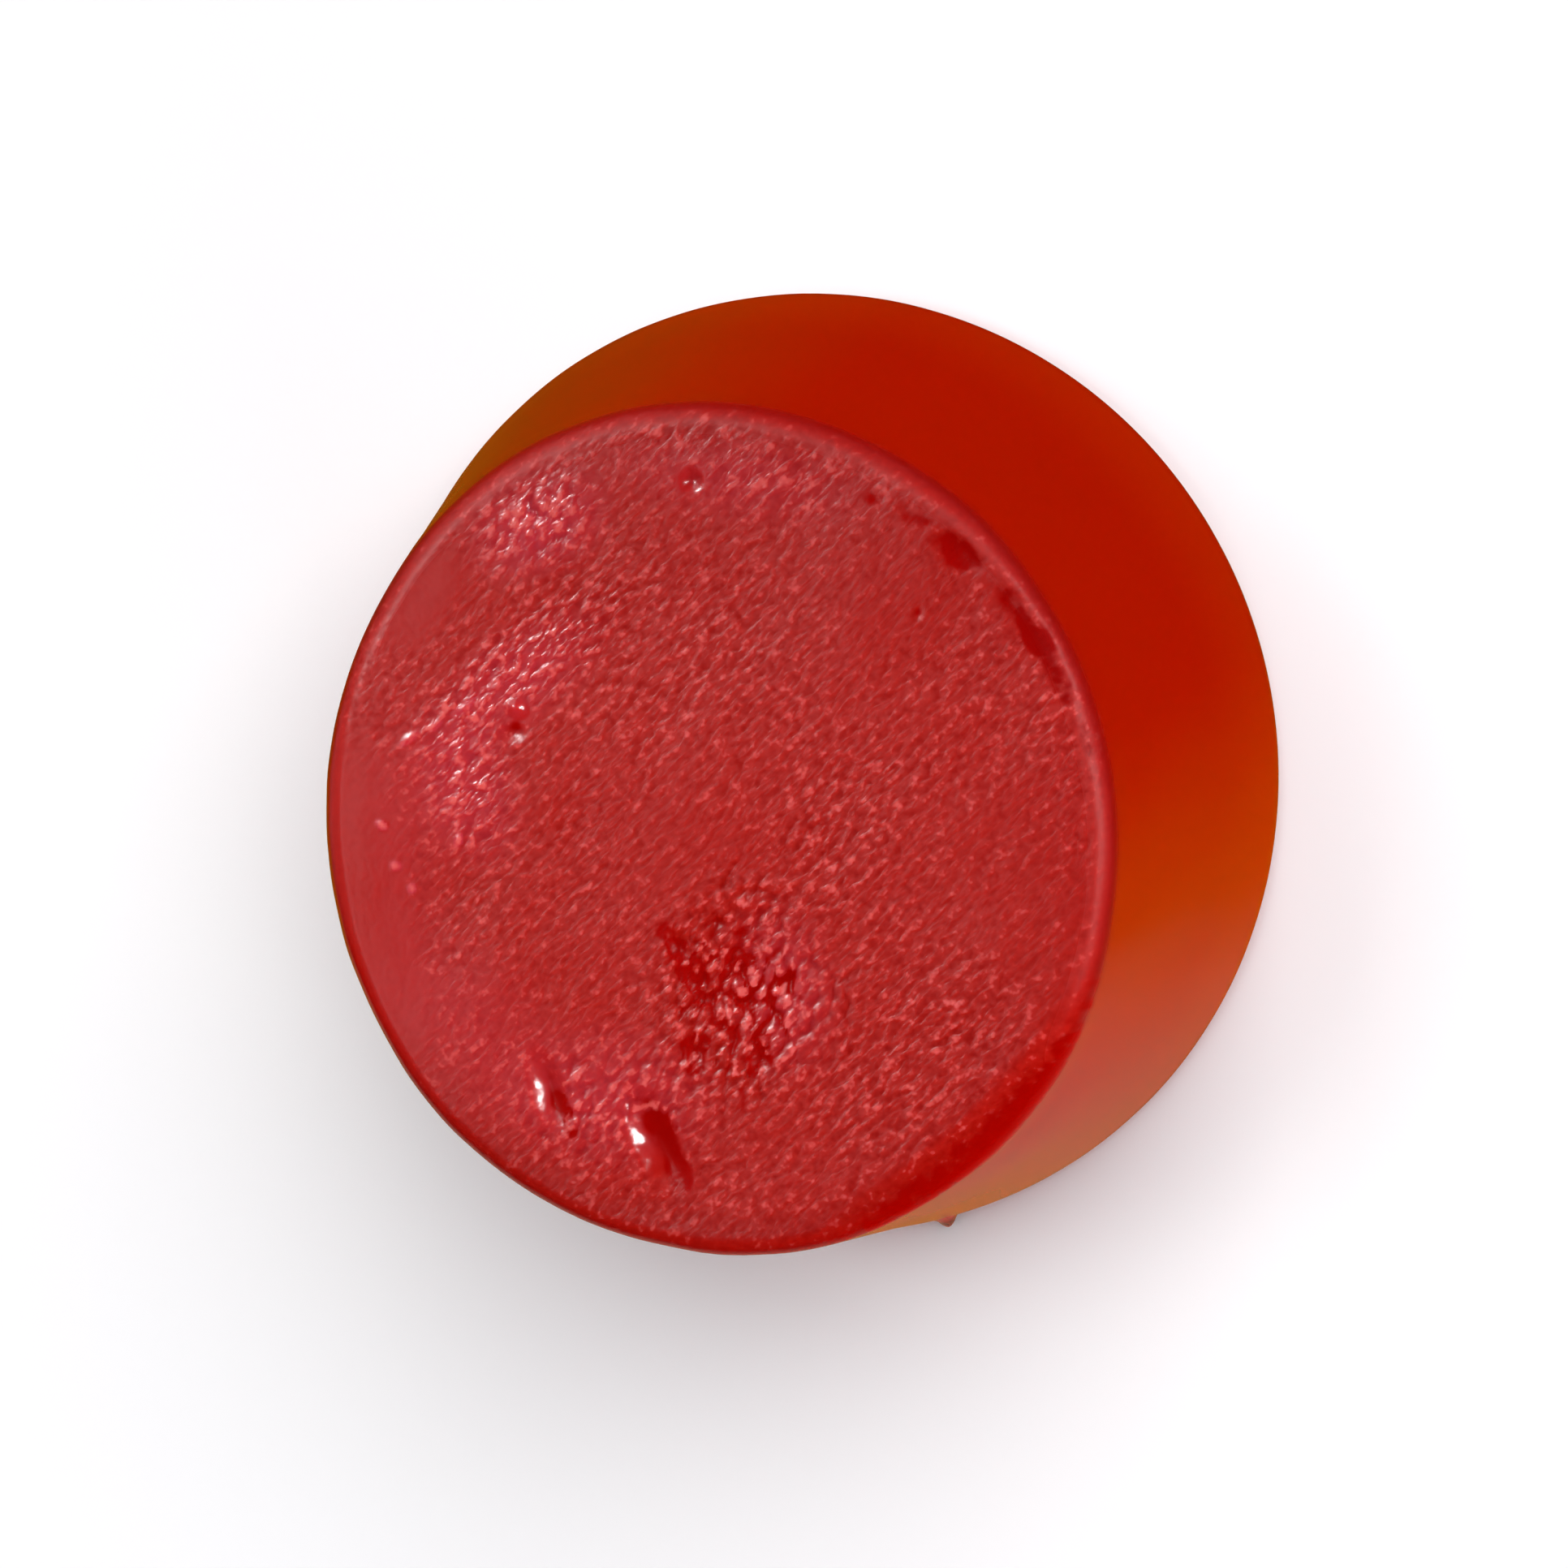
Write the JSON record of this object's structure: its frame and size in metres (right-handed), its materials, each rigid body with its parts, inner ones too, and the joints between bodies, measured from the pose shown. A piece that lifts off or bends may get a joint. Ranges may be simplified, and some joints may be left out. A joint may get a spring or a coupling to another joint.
{
  "type": "wine gum",
  "caption": "Round red wine gum: a solid tapered disc of translucent fruit gum with a dull, creased moulded face and a flat back to lie on.",
  "frame": {"origin": "middle of the flat back, which the gum lies on", "axes": "+Z is the gum's own axis, from the wide back up to the smaller moulded face; +Y is up and +X is right as the face is looked down on"},
  "size_m": [0.022, 0.0224, 0.0103],
  "materials": {
    "red_fruit_gum": "translucent red gum, waxed, satin on the face and glossier on the wall"
  },
  "bodies": {
    "root": {"wine_gum": "red_fruit_gum"}
  },
  "joints": []
}
